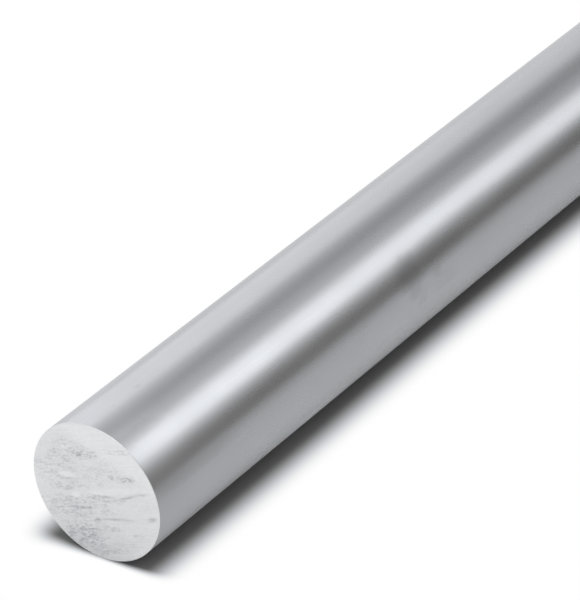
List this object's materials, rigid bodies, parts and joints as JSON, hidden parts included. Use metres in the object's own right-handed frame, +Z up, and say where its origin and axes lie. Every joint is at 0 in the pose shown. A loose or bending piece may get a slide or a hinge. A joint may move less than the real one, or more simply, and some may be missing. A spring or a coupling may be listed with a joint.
{
  "type": "round bar",
  "caption": "Straight solid round bar of drawn aluminium stock with sawn, lightly chamfered ends, for turning, machining or use as a plain shaft or post.",
  "frame": {"origin": "on the plane the bar rests on, under the middle of its length", "axes": "+X along the bar's axis, +Z up, +Y across the bar"},
  "size_m": [0.5, 0.05, 0.05],
  "materials": {
    "bar_metal": "drawn satin side, matt sawn ends"
  },
  "bodies": {
    "root": {"round_bar": "bar_metal"}
  },
  "joints": []
}
